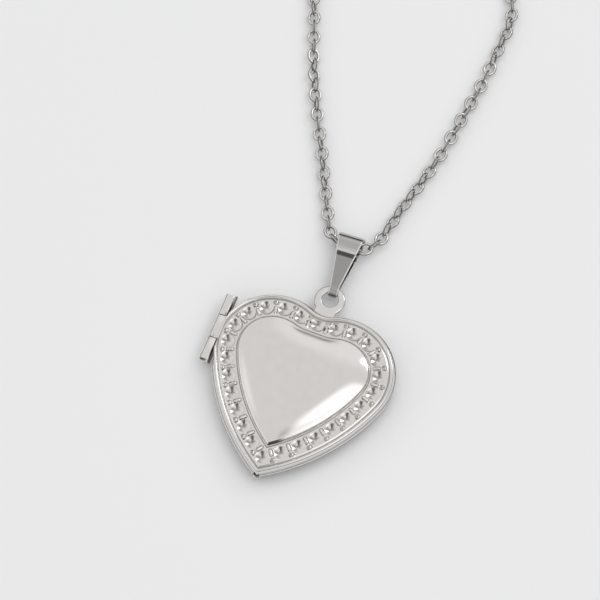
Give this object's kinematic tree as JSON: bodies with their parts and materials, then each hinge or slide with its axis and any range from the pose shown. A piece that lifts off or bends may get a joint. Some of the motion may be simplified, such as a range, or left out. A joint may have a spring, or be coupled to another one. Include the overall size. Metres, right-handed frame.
{
  "type": "heart locket necklace",
  "caption": "Hinged heart photo locket with a stamped border, two picture frames, a folded bail and a cable chain with a lobster clasp.",
  "frame": {"origin": "middle of the flat crown of the back cover, on the surface that the locket lies on", "axes": "+X across the heart away from the hinge, +Y along the heart from its tip to its notch and bail, +Z out of the front cover"},
  "size_m": [0.0568, 0.1233, 0.0054],
  "materials": {
    "polished_steel": "mirror polished stamped stainless steel",
    "bail_steel": "polished stainless steel strip",
    "chain_steel": "tumbled polished stainless steel wire",
    "clasp_steel": "polished stainless steel",
    "frame_steel": "fine satin",
    "pin_steel": "drawn wire",
    "spring_steel": "drawn wire",
    "clear_sheet": "clear acetate sheet"
  },
  "bodies": {
    "chain": {"chain_in_bail": "chain_steel", "chain_left": "chain_steel", "chain_right": "chain_steel", "chain_left_coil": "chain_steel", "chain_right_coil": "chain_steel", "chain_left_tail": "chain_steel", "chain_right_tail": "chain_steel", "end_ring": "chain_steel", "clasp_ring": "chain_steel", "clasp_body": "clasp_steel", "clasp_spring": "spring_steel", "clasp_rivet": "pin_steel"},
    "bail": {"bail": "bail_steel"},
    "back_half": {"back_cover": "polished_steel", "snap_collar": "polished_steel", "back_frame": "frame_steel", "back_window": "clear_sheet", "hinge_leaf_back": "polished_steel", "hinge_pin": "pin_steel", "ring_tab": "polished_steel"},
    "front_half": {"front_cover": "polished_steel", "front_frame": "frame_steel", "front_window": "clear_sheet", "hinge_leaf_front": "polished_steel"},
    "clasp_lever": {"clasp_lever": "clasp_steel"}
  },
  "joints": [
    {"name": "bail_on_chain", "type": "hinge", "parent": "chain", "child": "bail", "pos_m": [-0.00047, 0.02459, 0.00195], "axis": [-0.9981, -0.061, 0], "range_deg": [0, 75]},
    {"name": "locket_on_bail", "type": "hinge", "parent": "bail", "child": "back_half", "pos_m": [0, 0.01695, 0.00213], "axis": [-0.9981, -0.061, 0], "range_deg": [0, 85]},
    {"name": "cover_hinge", "type": "hinge", "parent": "back_half", "child": "front_half", "pos_m": [-0.0144, 0.0048, 0.0024], "axis": [0, -1, 0], "range_deg": [0, 165]},
    {"name": "lever_turn", "type": "hinge", "parent": "chain", "child": "clasp_lever", "pos_m": [0.01576, 0.09122, 0.0009], "axis": [0, 0, -1], "range_deg": [0, 22], "stiffness_Nm_per_rad": 0.002}
  ]
}
